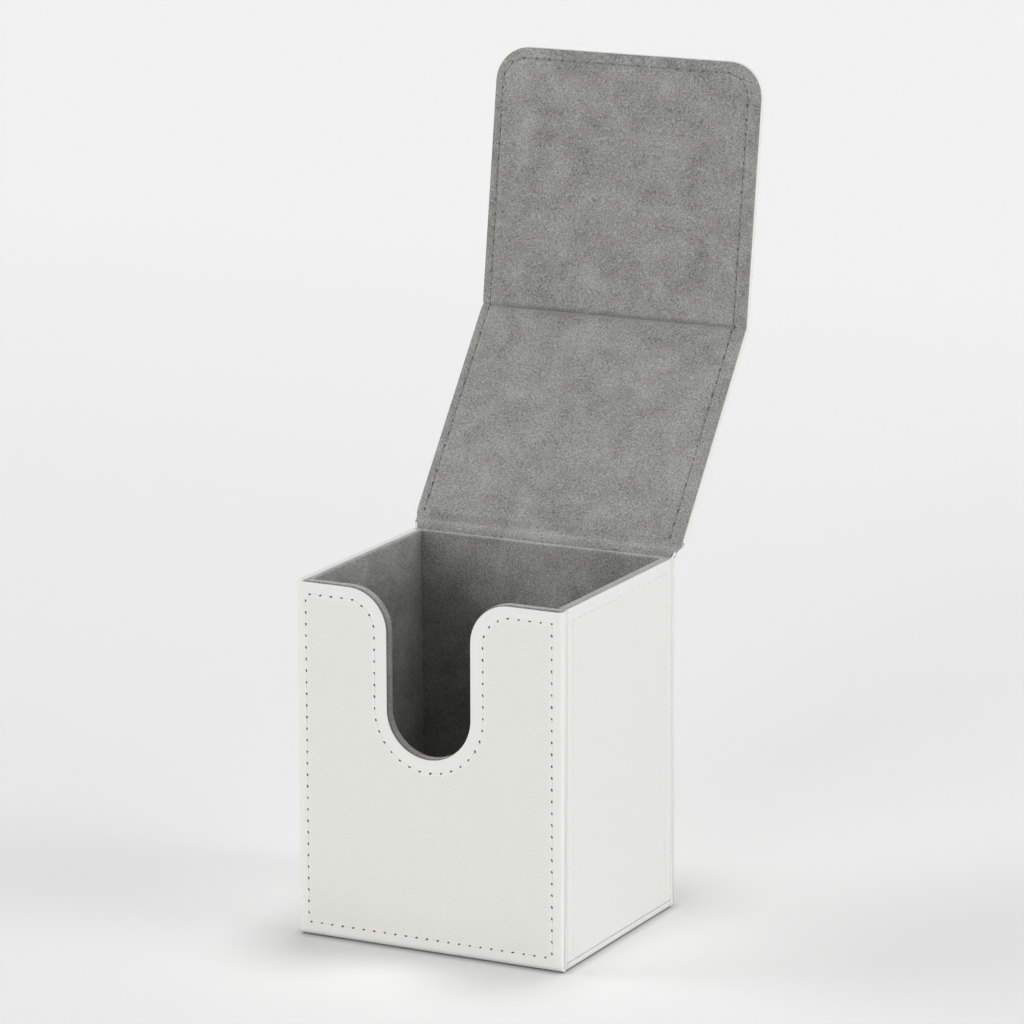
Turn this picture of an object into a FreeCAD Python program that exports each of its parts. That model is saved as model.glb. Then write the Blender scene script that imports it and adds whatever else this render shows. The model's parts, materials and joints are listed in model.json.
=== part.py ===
import FreeCAD, Part
import math
import os

# Card box with a hinged lid and a closing flap, all sizes in millimetres.
# Origin: middle of the underside. +Z is up and the front wall faces -Y.
# The lid and flap are drawn closed and then swung to the open pose.

# Box, outside
BOX_WIDTH = 79.0
BOX_DEPTH = 68.5
BOX_HEIGHT = 98.0

# Layers of a wall, from outside to inside
SKIN = 0.7
WALL_BOARD = 2.0
LINING = 0.6
BASE_BOARD = 1.4
LID_BOARD = 1.6

# Rounded edges
FOLD_RADIUS = 2.6
EDGE_RADIUS = 1.2
SEAM_RADIUS = 0.35

# Thumb notch in the front wall
NOTCH_WIDTH = 24.4
NOTCH_DEPTH = 44.4
NOTCH_FLARE = 11.5

# Lid and closing flap
LID_OVERHANG = 1.2
LID_CLEARANCE = 0.3
HINGE_FLEX = 4.0
FOLD_CLEARANCE = 0.3
FLAP_LENGTH = 72.7
FLAP_CORNER = 10.0

# Open pose, in degrees from closed
LID_OPEN = 128.0
FLAP_OPEN = 60.0

# Hidden magnets of the closure
MAGNET_DIAMETER = 10.0
MAGNET_THICKNESS = 1.0
MAGNET_CLEARANCE = 0.1
MAGNET_SPACING = 44.0
MAGNET_HEIGHT = 40.0

# Sizes that follow from the ones above
PANEL = SKIN + WALL_BOARD
WALL = PANEL + LINING
BASE_PANEL = SKIN + BASE_BOARD
LID_THICKNESS = SKIN + LID_BOARD + LINING
HALF_WIDTH = BOX_WIDTH / 2
FRONT = -BOX_DEPTH / 2
BACK = BOX_DEPTH / 2
LID_HALF_WIDTH = HALF_WIDTH + LID_OVERHANG
INNER_FOLD_RADIUS = FOLD_RADIUS - SKIN

# The lid turns about the inside of the back skin, level with the middle of its lining.
HINGE_Y = BACK - SKIN
HINGE_Z = BOX_HEIGHT + LID_CLEARANCE + LINING / 2
LID_INSIDE = -LINING / 2
LID_OUTSIDE = LID_INSIDE + LID_THICKNESS
LID_MIDDLE = (LID_INSIDE + LID_OUTSIDE) / 2

# The flap turns about the middle of the lid's thickness.
FOLD_Y = FRONT - LID_CLEARANCE - LID_THICKNESS / 2
FOLD_Z = HINGE_Z + LID_MIDDLE
FOLD_FLEX = LID_THICKNESS / 2 + FOLD_CLEARANCE
LID_REACH = HINGE_Y - FOLD_Y
FLAP_BEND = 90.0 - FLAP_OPEN

X_AXIS = FreeCAD.Vector(1, 0, 0)
Y_AXIS = FreeCAD.Vector(0, 1, 0)


def box(low, high):
    """Block between two opposite corners."""
    size = [top - bottom for bottom, top in zip(low, high)]
    return Part.makeBox(*size, FreeCAD.Vector(*low))


def edges_where(shape, test):
    """Edges of a shape whose bounding box passes a test."""
    return [edge for edge in shape.Edges if test(edge.BoundBox)]


def near(value, target):
    """True where two lengths agree."""
    return abs(value - target) < 1e-6


def slab(outline, start, thickness):
    """Upright plate: an XZ outline, given as edges at y = 0, made thick from y = start."""
    face = Part.Face(Part.Wire(outline))
    face.translate(Y_AXIS * start)
    return face.extrude(Y_AXIS * thickness)


def at(x, z):
    """Point of an XZ outline."""
    return FreeCAD.Vector(x, 0, z)


def round_arc(centre, radius, first, last):
    """Arc in the XZ plane between two angles, in degrees from +X towards +Z."""
    angles = [math.radians(angle) for angle in (first, (first + last) / 2, last)]
    points = [centre + at(radius * math.cos(a), radius * math.sin(a)) for a in angles]
    return Part.Arc(*points).toShape()


def straight_edges(points):
    """Straight edges through points in order."""
    return [Part.LineSegment(a, b).toShape() for a, b in zip(points, points[1:])]


def plain_outline(half_width, bottom, top):
    """Rectangle of the back wall."""
    corners = [at(-half_width, bottom), at(half_width, bottom), at(half_width, top), at(-half_width, top)]
    return straight_edges(corners + corners[:1])


def notched_outline(half_width, bottom, top):
    """Front wall with its thumb notch, drawn in by however much its top lies under the rim."""
    trim = BOX_HEIGHT - top
    bowl = NOTCH_WIDTH / 2 + trim
    flare = NOTCH_FLARE - trim
    bowl_centre = at(0, BOX_HEIGHT - NOTCH_DEPTH + NOTCH_WIDTH / 2)
    flare_x = NOTCH_WIDTH / 2 + NOTCH_FLARE
    flare_z = BOX_HEIGHT - NOTCH_FLARE
    outer = [at(-flare_x, top), at(-half_width, top), at(-half_width, bottom)]
    outer += [at(half_width, bottom), at(half_width, top), at(flare_x, top)]
    right = round_arc(at(flare_x, flare_z), flare, 90, 180)
    right_side = straight_edges([at(bowl, flare_z), at(bowl, bowl_centre.z)])
    bottom_arc = round_arc(bowl_centre, bowl, 0, -180)
    left_side = straight_edges([at(-bowl, bowl_centre.z), at(-bowl, flare_z)])
    left = round_arc(at(-flare_x, flare_z), flare, 0, 90)
    return straight_edges(outer) + [right] + right_side + [bottom_arc] + left_side + [left]


def wall_pieces(outline_of):
    """Board, skin and lining of the front wall, or of a back wall drawn in the same place."""
    inner_half = HALF_WIDTH - SKIN
    board_front = FRONT + SKIN

    def eased(shape, front, bottom, radius):
        fold = edges_where(shape, lambda b: near(b.YMax, front) and near(b.ZMax, bottom))
        return shape.makeFillet(radius, fold)

    shell = eased(slab(outline_of(HALF_WIDTH, 0, BOX_HEIGHT), FRONT, PANEL), FRONT, 0, FOLD_RADIUS)
    sides = edges_where(
        shell,
        lambda b: near(b.XLength, 0)
        and near(abs(b.XMin), HALF_WIDTH)
        and b.YMax < FRONT + PANEL - SEAM_RADIUS
        and (near(b.YLength, 0) or b.ZMax < BOX_HEIGHT),
    )
    shell = shell.makeFillet(EDGE_RADIUS, sides)
    core = slab(outline_of(inner_half, SKIN, BOX_HEIGHT), board_front, WALL_BOARD)
    core = eased(core, board_front, SKIN, INNER_FOLD_RADIUS)
    board = slab(outline_of(inner_half, SKIN, BOX_HEIGHT - LINING), board_front, WALL_BOARD)
    board = eased(board, board_front, SKIN, INNER_FOLD_RADIUS)
    sheet = slab(outline_of(HALF_WIDTH - PANEL, BASE_PANEL, BOX_HEIGHT), FRONT + PANEL, LINING)
    lining = core.cut(board).fuse(sheet).removeSplitter()
    return {"board": board, "skin": shell.cut(core), "lining": lining}


def side_pieces():
    """Board, skin and lining of the right wall, which stands between the front and back walls."""
    reach = BACK - PANEL
    board = box(
        (HALF_WIDTH - PANEL, -reach, BASE_PANEL),
        (HALF_WIDTH - SKIN, reach, BOX_HEIGHT - LINING),
    )
    skin = box((HALF_WIDTH - SKIN, -reach, BASE_PANEL), (HALF_WIDTH, reach, BOX_HEIGHT))
    seam = edges_where(skin, lambda b: near(b.XMin, HALF_WIDTH) and b.ZMin < BOX_HEIGHT - SEAM_RADIUS)
    skin = skin.makeFillet(SEAM_RADIUS, seam)
    rim = box(
        (HALF_WIDTH - PANEL, -reach, BOX_HEIGHT - LINING),
        (HALF_WIDTH - SKIN, reach, BOX_HEIGHT),
    )
    sheet = box(
        (HALF_WIDTH - WALL, LINING - reach, BASE_PANEL),
        (HALF_WIDTH - PANEL, reach - LINING, BOX_HEIGHT),
    )
    return {"board": board, "skin": skin, "lining": rim.fuse(sheet).removeSplitter()}


def base_pieces():
    """Board, skin and lining of the floor, between the front and back walls."""
    reach = BACK - PANEL
    board = box((SKIN - HALF_WIDTH, -reach, SKIN), (HALF_WIDTH - SKIN, reach, BASE_PANEL))
    shell = box((-HALF_WIDTH, -reach, 0), (HALF_WIDTH, reach, BASE_PANEL))
    rails = edges_where(shell, lambda b: near(b.ZMax, 0) and near(b.XLength, 0))
    skin = shell.makeFillet(EDGE_RADIUS, rails).cut(board)
    lining = box(
        (WALL - HALF_WIDTH, FRONT + WALL, BASE_PANEL),
        (HALF_WIDTH - WALL, BACK - WALL, BASE_PANEL + LINING),
    )
    return {"board": board, "skin": skin, "lining": lining}


def lid_pieces():
    """Closed lid: it runs forward from the hinge, with its stiff part between the two flexible strips."""
    rear = HINGE_Y - HINGE_FLEX
    front = FOLD_Y + FOLD_FLEX
    inside = HINGE_Z + LID_INSIDE
    outside = HINGE_Z + LID_OUTSIDE
    board_half = LID_HALF_WIDTH - SKIN
    board = box((-board_half, front, inside + LINING), (board_half, rear, outside - SKIN))
    shell = box((-LID_HALF_WIDTH, front, inside + LINING), (LID_HALF_WIDTH, rear, outside))
    rails = edges_where(shell, lambda b: near(b.ZMin, outside) and near(b.XLength, 0))
    lining = box((-LID_HALF_WIDTH, front, inside), (LID_HALF_WIDTH, rear, inside + LINING))
    return {"board": board, "skin": shell.makeFillet(EDGE_RADIUS, rails).cut(board), "lining": lining}


def flap_outline(half_width, end, corner):
    """Flap seen from the front: square at the fold, round at the two end corners."""
    top = FOLD_Z - FOLD_FLEX
    left = at(corner - half_width, end + corner)
    right = at(half_width - corner, end + corner)
    head = [at(half_width, right.z), at(half_width, top), at(-half_width, top), at(-half_width, left.z)]
    left_arc = round_arc(left, corner, 180, 270)
    foot = straight_edges([at(left.x, end), at(right.x, end)])
    right_arc = round_arc(right, corner, 270, 360)
    return straight_edges(head) + [left_arc] + foot + [right_arc]


def flap_pieces():
    """Closed flap: it hangs in front of the front wall."""
    outside = FOLD_Y - LID_THICKNESS / 2
    end = FOLD_Z - FLAP_LENGTH
    stiff = flap_outline(LID_HALF_WIDTH - SKIN, end + SKIN, FLAP_CORNER - SKIN)
    full = flap_outline(LID_HALF_WIDTH, end, FLAP_CORNER)
    core = slab(stiff, outside + SKIN, LID_BOARD)
    shell = slab(full, outside, SKIN + LID_BOARD)
    rim = edges_where(
        shell,
        lambda b: near(b.YMax, outside) and b.ZMin < FOLD_Z - FOLD_FLEX - EDGE_RADIUS,
    )
    skin = shell.makeFillet(EDGE_RADIUS, rim).cut(core)
    lining = slab(full, outside + SKIN + LID_BOARD, LINING)
    pockets = magnet_discs(outside + SKIN + LID_BOARD - MAGNET_THICKNESS, MAGNET_CLEARANCE)
    return {"board": core.cut(pockets), "skin": skin, "lining": lining}


def magnet_discs(start, clearance):
    """Pair of discs facing the front wall, grown by a clearance where they are pockets."""
    radius = MAGNET_DIAMETER / 2 + clearance
    places = [FreeCAD.Vector(side * MAGNET_SPACING / 2, start, MAGNET_HEIGHT) for side in (-1, 1)]
    return Part.makeCompound([Part.makeCylinder(radius, MAGNET_THICKNESS, p, Y_AXIS) for p in places])


def swing_flap(shape):
    """Turn a closed flap piece to the open pose, before the lid carries it."""
    turned = shape.copy()
    turned.rotate(FreeCAD.Vector(0, FOLD_Y, FOLD_Z), X_AXIS, -FLAP_OPEN)
    return swing_lid(turned)


def swing_lid(shape):
    """Turn a closed lid piece to the open pose."""
    turned = shape.copy()
    turned.rotate(FreeCAD.Vector(0, HINGE_Y, HINGE_Z), X_AXIS, -LID_OPEN)
    return turned


def lid_point(reach, rise):
    """Point of the open lid: reach along it from the hinge, rise from the hinge line to its outside."""
    return swing_lid(Part.Vertex(0, HINGE_Y - reach, HINGE_Z + rise)).Point


def flap_point(reach, rise):
    """Point of the open flap: reach along it from the fold, rise from the fold line to its outside."""
    return swing_flap(Part.Vertex(0, FOLD_Y - rise, FOLD_Z - reach)).Point


def strip(edges, half_width):
    """Strip across the box whose YZ section is closed by the given edges."""
    face = Part.Face(Part.Wire(edges))
    face.translate(X_AXIS * -half_width)
    return face.extrude(X_AXIS * 2 * half_width)


def crosswise(half_width, inner, outer):
    """Rectangle across the box between two points of its middle plane."""
    side = X_AXIS * half_width
    corners = [inner - side, outer - side, outer + side, inner + side]
    return Part.Wire(straight_edges(corners + corners[:1]))


def lid_hinge_strip(wall_from, wall_to, rise_from, rise_to):
    """Bare layer of the hinge: it widens from the top of the back wall to the stiff part of the lid."""
    wall_end = crosswise(
        HALF_WIDTH,
        FreeCAD.Vector(0, wall_from, BOX_HEIGHT),
        FreeCAD.Vector(0, wall_to, BOX_HEIGHT),
    )
    lid_end = crosswise(LID_HALF_WIDTH, lid_point(HINGE_FLEX, rise_from), lid_point(HINGE_FLEX, rise_to))
    return Part.makeLoft([wall_end, lid_end], True, True)


def flap_hinge_strip(rise_from, rise_to):
    """Bare layer of the fold, bent in an arc between the stiff parts of the lid and the flap."""
    bend_radius = FOLD_FLEX / math.tan(math.radians(FLAP_BEND / 2))
    lid_end = LID_REACH - FOLD_FLEX
    centre = lid_point(lid_end, LID_MIDDLE - bend_radius)
    outward = (lid_point(LID_REACH, LID_MIDDLE) - centre).normalize()

    def layer(rise):
        middle = centre + outward * (bend_radius + rise)
        return Part.Arc(lid_point(lid_end, LID_MIDDLE + rise), middle, flap_point(FOLD_FLEX, rise)).toShape()

    inner = layer(rise_from)
    outer = layer(rise_to)
    ends = [
        Part.LineSegment(inner.valueAt(inner.LastParameter), outer.valueAt(outer.LastParameter)).toShape(),
        Part.LineSegment(outer.valueAt(outer.FirstParameter), inner.valueAt(inner.FirstParameter)).toShape(),
    ]
    return strip([inner, ends[0], outer, ends[1]], LID_HALF_WIDTH)


def to_back(shape):
    """Half turn about the upright middle line: a piece drawn at the front goes to the back."""
    turned = shape.copy()
    turned.rotate(FreeCAD.Vector(0, 0, 0), FreeCAD.Vector(0, 0, 1), 180)
    return turned


def build():
    """All pieces of the box by name."""
    front = wall_pieces(notched_outline)
    back = wall_pieces(plain_outline)
    side = side_pieces()
    base = base_pieces()
    lid = lid_pieces()
    flap = flap_pieces()
    pieces = {}
    for layer in ("board", "skin", "lining"):
        pieces["front_" + layer] = front[layer]
        pieces["back_" + layer] = to_back(back[layer])
        pieces["right_" + layer] = side[layer]
        pieces["left_" + layer] = to_back(side[layer])
        pieces["base_" + layer] = base[layer]
        pieces["lid_" + layer] = swing_lid(lid[layer])
        pieces["flap_" + layer] = swing_flap(flap[layer])

    pieces["front_board"] = front["board"].cut(magnet_discs(FRONT + SKIN, MAGNET_CLEARANCE))
    pieces["front_magnets"] = magnet_discs(FRONT + SKIN, 0)
    flap_pocket_floor = FOLD_Y + LID_THICKNESS / 2 - LINING - MAGNET_THICKNESS
    pieces["flap_magnets"] = swing_flap(magnet_discs(flap_pocket_floor, 0))

    skin_inside = LID_OUTSIDE - SKIN
    pieces["lid_hinge_skin"] = lid_hinge_strip(BACK - SKIN, BACK, skin_inside, LID_OUTSIDE)
    pieces["lid_hinge_lining"] = lid_hinge_strip(
        HINGE_Y - LINING, HINGE_Y, LID_INSIDE, LID_INSIDE + LINING
    )
    half = LID_THICKNESS / 2
    pieces["flap_hinge_skin"] = flap_hinge_strip(half - SKIN, half)
    pieces["flap_hinge_lining"] = flap_hinge_strip(-half, LINING - half)
    return pieces


os.makedirs("parts", exist_ok=True)
for name, shape in build().items():
    solids = shape.Solids
    sound = all(solid.isValid() for solid in solids)
    print(name, "solids", len(solids), "volume", round(shape.Volume, 1), "valid", sound)
    shape.exportStep("parts/" + name + ".step")
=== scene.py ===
"""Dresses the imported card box: covering, lining, hinges and sewing around the CAD frame."""

import json
import logging
import math
import random
from dataclasses import dataclass
from enum import Enum
from typing import Callable

import bmesh
import bpy
from mathutils import Matrix, Vector

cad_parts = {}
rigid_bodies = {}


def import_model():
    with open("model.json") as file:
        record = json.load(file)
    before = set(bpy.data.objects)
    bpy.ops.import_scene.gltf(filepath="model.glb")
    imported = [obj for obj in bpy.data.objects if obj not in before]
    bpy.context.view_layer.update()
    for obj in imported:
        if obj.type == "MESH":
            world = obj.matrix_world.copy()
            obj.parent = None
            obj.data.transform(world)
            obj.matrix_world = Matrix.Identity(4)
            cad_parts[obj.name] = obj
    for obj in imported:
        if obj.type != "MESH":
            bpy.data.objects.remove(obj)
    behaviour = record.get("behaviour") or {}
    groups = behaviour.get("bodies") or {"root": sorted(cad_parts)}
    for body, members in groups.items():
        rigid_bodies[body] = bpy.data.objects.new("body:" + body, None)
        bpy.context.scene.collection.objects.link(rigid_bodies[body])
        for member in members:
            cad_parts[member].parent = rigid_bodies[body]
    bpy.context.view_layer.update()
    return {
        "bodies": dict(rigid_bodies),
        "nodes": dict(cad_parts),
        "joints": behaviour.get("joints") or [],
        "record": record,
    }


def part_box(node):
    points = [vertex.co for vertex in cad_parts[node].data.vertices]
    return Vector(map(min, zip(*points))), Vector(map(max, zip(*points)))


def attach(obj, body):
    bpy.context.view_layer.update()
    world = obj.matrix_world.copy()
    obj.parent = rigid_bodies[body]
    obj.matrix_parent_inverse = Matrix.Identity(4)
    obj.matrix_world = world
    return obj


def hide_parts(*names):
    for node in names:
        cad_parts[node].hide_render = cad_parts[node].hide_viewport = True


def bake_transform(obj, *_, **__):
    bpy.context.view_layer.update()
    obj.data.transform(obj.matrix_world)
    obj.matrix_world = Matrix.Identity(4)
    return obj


LOG = logging.getLogger("card_box")
MM = 0.001
TINY = 0.01 * MM
QUARTER = math.pi / 2

# Depth in millimetres of the lining's crease, from its middle outwards in quarters of the bending zone.
CREASE_PROFILE = (1.3, 0.85, 0.28, 0.1, 0.03)
# Reach from the hinge and depth, in mm, of the soft crease below the lid's board
HINGE_PROFILE = ((1.0, 0.0), (1.8, 0.42), (2.5, 0.72), (3.3, 0.48))

Test = Callable[[Vector], bool]


class Element(Enum):
    """Kinds of mesh element that can be picked."""

    VERTS = "VERT"
    EDGES = "EDGE"
    FACES = "FACE"


class Side(Enum):
    """The two upright sides of the box, by the sign of X."""

    LEFT = -1
    RIGHT = 1


class Slot(Enum):
    """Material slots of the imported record."""

    LEATHERETTE = "white_leatherette"
    SUEDE = "grey_suede"
    BOARD = "greyboard"
    MAGNET = "magnet_nickel"


class Finish(Enum):
    """Slots of a leatherette piece, in the order in which its materials are put on."""

    FIELD = 0
    # Pressed border, its lighter tone partly a painted highlight.
    BORDER = 1
    # Needle holes, painted darker as shade.
    NEEDLE_HOLE = 2
    # Cut edges: the backing's tone, painted darker as shade.
    CUT_EDGE = 3


# Materials


def linear(code: str, alpha: float = 1.0) -> tuple[float, float, float, float]:
    """Turns an sRGB hex colour to linear.

    Args:
        code: six hex digits.
        alpha: opacity that goes with it.

    Returns:
        Linear red, green, blue and alpha.
    """
    parts = [int(code[i : i + 2], 16) / 255 for i in (0, 2, 4)]
    red, green, blue = [c / 12.92 if c <= 0.04045 else ((c + 0.055) / 1.055) ** 2.4 for c in parts]
    return red, green, blue, alpha


def add_node(tree: bpy.types.NodeTree, kind: str, inputs: dict, **settings: object) -> bpy.types.Node:
    """Adds one node with its settings, values and links.

    Args:
        tree: node tree that gets the node.
        kind: Blender's name of the node type.
        inputs: value, or output socket to link, by input name or index.
        settings: attributes of the node itself.

    Returns:
        The new node.
    """
    node = tree.nodes.new(kind)
    for name, value in settings.items():
        setattr(node, name, value)
    for name, value in inputs.items():
        if isinstance(value, bpy.types.NodeSocket):
            tree.links.new(value, node.inputs[name])
        else:
            node.inputs[name].default_value = value
    return node


def start_material(name: str) -> tuple[bpy.types.Material, bpy.types.NodeTree, bpy.types.Node, bpy.types.NodeSocket]:
    """Makes an empty node material.

    Args:
        name: name of the material.

    Returns:
        The material, its tree, its Principled shader and its Object coordinates.
    """
    material = bpy.data.materials.new(name)
    material.use_nodes = True
    tree = material.node_tree
    tree.nodes.clear()
    shader = add_node(tree, "ShaderNodeBsdfPrincipled", {})
    add_node(tree, "ShaderNodeOutputMaterial", {"Surface": shader.outputs["BSDF"]})
    place = add_node(tree, "ShaderNodeTexCoord", {})
    return material, tree, shader, place.outputs["Object"]


@dataclass(frozen=True)
class Leatherette:
    """PU-coated cloth, cast smooth and roller-embossed with fine crossing lines.

    It gives the eye a soft satin white whose lines break up the highlight; the valleys of the lines get a darker tone,
    which is painted shade.
    """

    name: str
    raised: str = "EBEBE6"
    # Tone of the emboss valleys, painted darker as shade.
    valley_shade: str = "E0E0DA"
    hatch_pitch: float = 0.8
    hatch_depth: float = 0.03
    grain: float = 0.5
    roughness: float = 0.62

    def material(self) -> bpy.types.Material:
        """Builds the leatherette from two crossing rows of lines and a grain, with painted shade in the valleys of the
        lines.
        """
        material, tree, shader, place = start_material(self.name)
        turns = 2 * math.pi / (self.hatch_pitch * MM * math.sqrt(2))
        wander = add_node(tree, "ShaderNodeTexNoise", {"Vector": place, "Scale": 0.25 / MM, "Detail": 2.0})
        rows = []
        for lean in ((turns, turns, turns), (-turns, -turns, turns)):
            along = add_node(tree, "ShaderNodeVectorMath", {0: place, 1: lean}, operation="DOT_PRODUCT")
            drift = add_node(
                tree,
                "ShaderNodeMath",
                {0: wander.outputs["Fac"], 1: 3.0, 2: along.outputs["Value"]},
                operation="MULTIPLY_ADD",
            )
            rows.append(add_node(tree, "ShaderNodeMath", {0: drift.outputs[0]}, operation="SINE"))
        lines = add_node(
            tree, "ShaderNodeMath", {0: rows[0].outputs[0], 1: rows[1].outputs[0]}, operation="MAXIMUM"
        )
        grain = add_node(
            tree, "ShaderNodeTexNoise", {"Vector": place, "Scale": 1 / (self.grain * MM), "Detail": 3.0}
        )
        height = add_node(
            tree,
            "ShaderNodeMath",
            {0: grain.outputs["Fac"], 1: 1.4, 2: lines.outputs[0]},
            operation="MULTIPLY_ADD",
        )
        tint = add_node(
            tree,
            "ShaderNodeMapRange",
            {"Value": height.outputs[0], "From Min": 0.0, "From Max": 1.9},
        )
        # Painted shade: the lower the emboss, the closer to the darker valley tone.
        colour = add_node(
            tree,
            "ShaderNodeMix",
            {"Factor": tint.outputs["Result"], 6: linear(self.valley_shade), 7: linear(self.raised)},
            data_type="RGBA",
        )
        bump = add_node(
            tree, "ShaderNodeBump", {"Height": height.outputs[0], "Distance": self.hatch_depth * MM, "Strength": 1.0}
        )
        tree.links.new(colour.outputs[2], shader.inputs["Base Color"])
        tree.links.new(bump.outputs["Normal"], shader.inputs["Normal"])
        shader.inputs["Roughness"].default_value = self.roughness
        shader.inputs["IOR"].default_value = 1.5
        return material


@dataclass(frozen=True)
class Suede:
    """Brushed microfibre cloth: a short nap that lies in soft clouds.

    It gives the eye a matt speckled grey, a little paler where the nap stands towards the light.
    """

    name: str = "brushed_microfibre_suede"
    light: str = "B9B9B5"
    dark: str = "494947"
    fibre: float = 0.45
    cloud: float = 9.0
    nap_depth: float = 0.12
    roughness: float = 0.95
    sheen: float = 0.5

    def material(self) -> bpy.types.Material:
        """Builds the suede from fibre speckle, nap clouds and a sheen."""
        material, tree, shader, place = start_material(self.name)
        speckle = add_node(
            tree, "ShaderNodeTexNoise", {"Vector": place, "Scale": 1 / (self.fibre * MM), "Detail": 4.0, "Roughness": 0.65}
        )
        clouds = add_node(
            tree, "ShaderNodeTexNoise", {"Vector": place, "Scale": 1 / (self.cloud * MM), "Detail": 3.0, "Distortion": 0.6}
        )
        both = add_node(
            tree,
            "ShaderNodeMath",
            {0: clouds.outputs["Fac"], 1: 0.3, 2: speckle.outputs["Fac"]},
            operation="MULTIPLY_ADD",
        )
        share = add_node(
            tree, "ShaderNodeMapRange", {"Value": both.outputs[0], "From Min": 0.39, "From Max": 0.91}
        )
        colour = add_node(
            tree,
            "ShaderNodeMix",
            {"Factor": share.outputs["Result"], 6: linear(self.dark), 7: linear(self.light)},
            data_type="RGBA",
        )
        bump = add_node(
            tree, "ShaderNodeBump", {"Height": speckle.outputs["Fac"], "Distance": self.nap_depth * MM, "Strength": 1.0}
        )
        tree.links.new(colour.outputs[2], shader.inputs["Base Color"])
        tree.links.new(bump.outputs["Normal"], shader.inputs["Normal"])
        shader.inputs["Roughness"].default_value = self.roughness
        shader.inputs["Sheen Weight"].default_value = self.sheen
        shader.inputs["Sheen Roughness"].default_value = 0.5
        return material


@dataclass(frozen=True)
class Plain:
    """Simple stuff with one fine texture: thread, board, plated metal, or pierced and cut edges, whose dark tones are
    partly painted shade.

    It gives the eye the tone of the stuff, broken by its fibres or grain.
    """

    name: str
    light: str
    dark: str
    grain: float
    depth: float
    roughness: float
    metallic: float = 0.0

    def material(self) -> bpy.types.Material:
        """Builds the stuff from one noise that shades it and roughens it."""
        material, tree, shader, place = start_material(self.name)
        noise = add_node(
            tree, "ShaderNodeTexNoise", {"Vector": place, "Scale": 1 / (self.grain * MM), "Detail": 3.0}
        )
        colour = add_node(
            tree,
            "ShaderNodeMix",
            {"Factor": noise.outputs["Fac"], 6: linear(self.dark), 7: linear(self.light)},
            data_type="RGBA",
        )
        bump = add_node(
            tree, "ShaderNodeBump", {"Height": noise.outputs["Fac"], "Distance": self.depth * MM, "Strength": 1.0}
        )
        tree.links.new(colour.outputs[2], shader.inputs["Base Color"])
        tree.links.new(bump.outputs["Normal"], shader.inputs["Normal"])
        shader.inputs["Roughness"].default_value = self.roughness
        shader.inputs["Metallic"].default_value = self.metallic
        return material


class Finishes:
    """All materials of the box, made once."""

    def __init__(self) -> None:
        """Makes the materials."""
        self.field = Leatherette("pu_leatherette_embossed").material()
        # Border: pressed smoother, with shallower lines and a lighter valley tone; the lighter tone is a painted
        # highlight for the border's pillowed bulge.
        self.border = Leatherette("pu_leatherette_pressed_painted_highlight", hatch_depth=0.008, valley_shade="E8E8E3").material()
        # Side panels: a lighter, cooler copy of the leatherette, painted light for the brighter light on the sides; its
        # lines are also shallower.
        self.side_field = Leatherette(
            "pu_leatherette_flattened_painted_light", raised="EAEAE7", hatch_depth=0.015, valley_shade="E5E5E2"
        ).material()
        # Needle holes get the backing's grey, painted darker as shade in the hole, so a needle hole reads as a dark
        # dot.
        self.needle_hole = Plain("pierced_backing_painted_shade", "7C7A77", "62605D", 0.3, 0.02, 0.9).material()
        # The leatherette's cut edge bares the same backing, painted darker for the deep shade under the lining's turn.
        self.cut_edge = Plain("cut_backing_painted_shade", "8A8884", "757370", 0.3, 0.02, 0.9).material()
        # Suede needle holes: a grey a little darker than the suede, painted shade in the holes.
        self.pierced_suede_painted_shade = Plain("pierced_suede_painted_shade", "868684", "70706E", 0.3, 0.05, 0.95).material()
        self.suede = Suede().material()
        # Bonded polyester thread: twisted, satin, a touch warmer than the leatherette.
        self.white_thread = Plain("bonded_polyester_thread_white", "F2F1EC", "E2E1DB", 0.35, 0.03, 0.6).material()
        self.grey_thread = Plain("bonded_polyester_thread_grey", "8C8C8A", "6E6E6C", 0.35, 0.03, 0.7).material()
        # Recycled greyboard: matt pulp with darker fibres.
        self.greyboard = Plain("recycled_greyboard", "7C776E", "625D56", 0.8, 0.03, 0.95).material()
        # Nickel plate over a sintered magnet: bright, slightly satin.
        self.nickel = Plain("nickel_plate", "CFCBC4", "C2BDB5", 0.4, 0.005, 0.28, 1.0).material()

    def leatherette(self) -> list[bpy.types.Material]:
        """Materials of a leatherette piece, in the order of Finish."""
        return [self.field, self.border, self.needle_hole, self.cut_edge]

    def side(self) -> list[bpy.types.Material]:
        """Materials of a side panel, in the order of Finish: a lighter field painted for the side's light, and needle
        holes in the border's tone.
        """
        return [self.side_field, self.border, self.border, self.cut_edge]

    def lining(self) -> list[bpy.types.Material]:
        """Materials of a suede piece, in the order of Finish."""
        return [self.suede, self.suede, self.pierced_suede_painted_shade, self.suede]


# Bench work


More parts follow.
